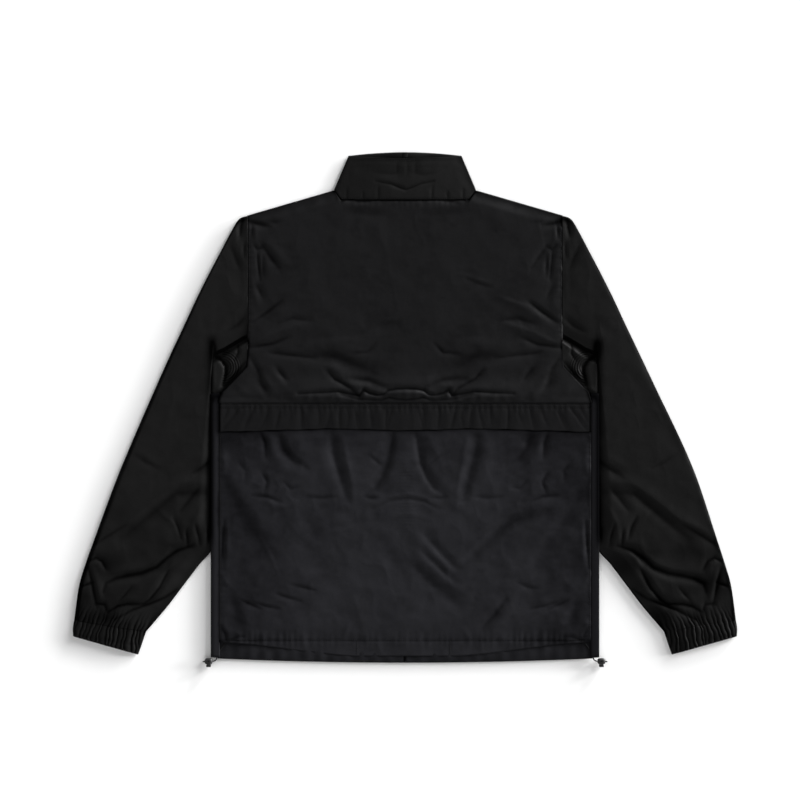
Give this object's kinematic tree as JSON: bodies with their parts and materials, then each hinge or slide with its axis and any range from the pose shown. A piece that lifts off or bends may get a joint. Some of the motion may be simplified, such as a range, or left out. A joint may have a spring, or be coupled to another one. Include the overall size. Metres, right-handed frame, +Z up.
{
  "type": "windbreaker",
  "caption": "Black nylon windbreaker laid flat, back up: stand collar, flap over the waist, gathered cuffs, cord-locked hem and zip front.",
  "frame": {"origin": "on the surface it lies on, under the middle of the garment without its hem cords", "axes": "+Y to the collar, +X to the wearer's right, +Z up out of the back"},
  "size_m": [0.996, 0.7711, 0.0098],
  "materials": {
    "cloth": "fine plain weave nylon, dull with a faint sheen",
    "gathered_cloth": "the same nylon gathered over elastic",
    "zip_chain": "moulded coil on woven tape",
    "zip_metal": "black painted zinc",
    "elastic": "braided elastic cord",
    "lock_plastic": "moulded acetal"
  },
  "bodies": {
    "garment": {"back_upper": "cloth", "back_lower": "cloth", "back_flap": "cloth", "collar_back": "cloth", "collar_front_left": "cloth", "collar_front_right": "cloth", "front_left": "cloth", "front_right": "cloth", "gusset_left": "cloth", "gusset_right": "cloth", "sleeve_left": "cloth", "sleeve_right": "cloth", "cuff_left": "gathered_cloth", "cuff_right": "gathered_cloth", "zip_chain": "zip_chain", "zip_slider": "zip_metal", "hem_cord_left": "elastic", "hem_cord_right": "elastic", "cord_lock_left": "lock_plastic", "cord_lock_right": "lock_plastic", "lock_button_left": "lock_plastic", "lock_button_right": "lock_plastic"},
    "pull_tab": {"zip_pull_tab": "zip_metal"}
  },
  "joints": [
    {"name": "pull_tab_hinge", "type": "hinge", "parent": "garment", "child": "pull_tab", "pos_m": [0, 0.363, 0.0007], "axis": [1, 0, 0], "range_deg": [0, 170]}
  ]
}
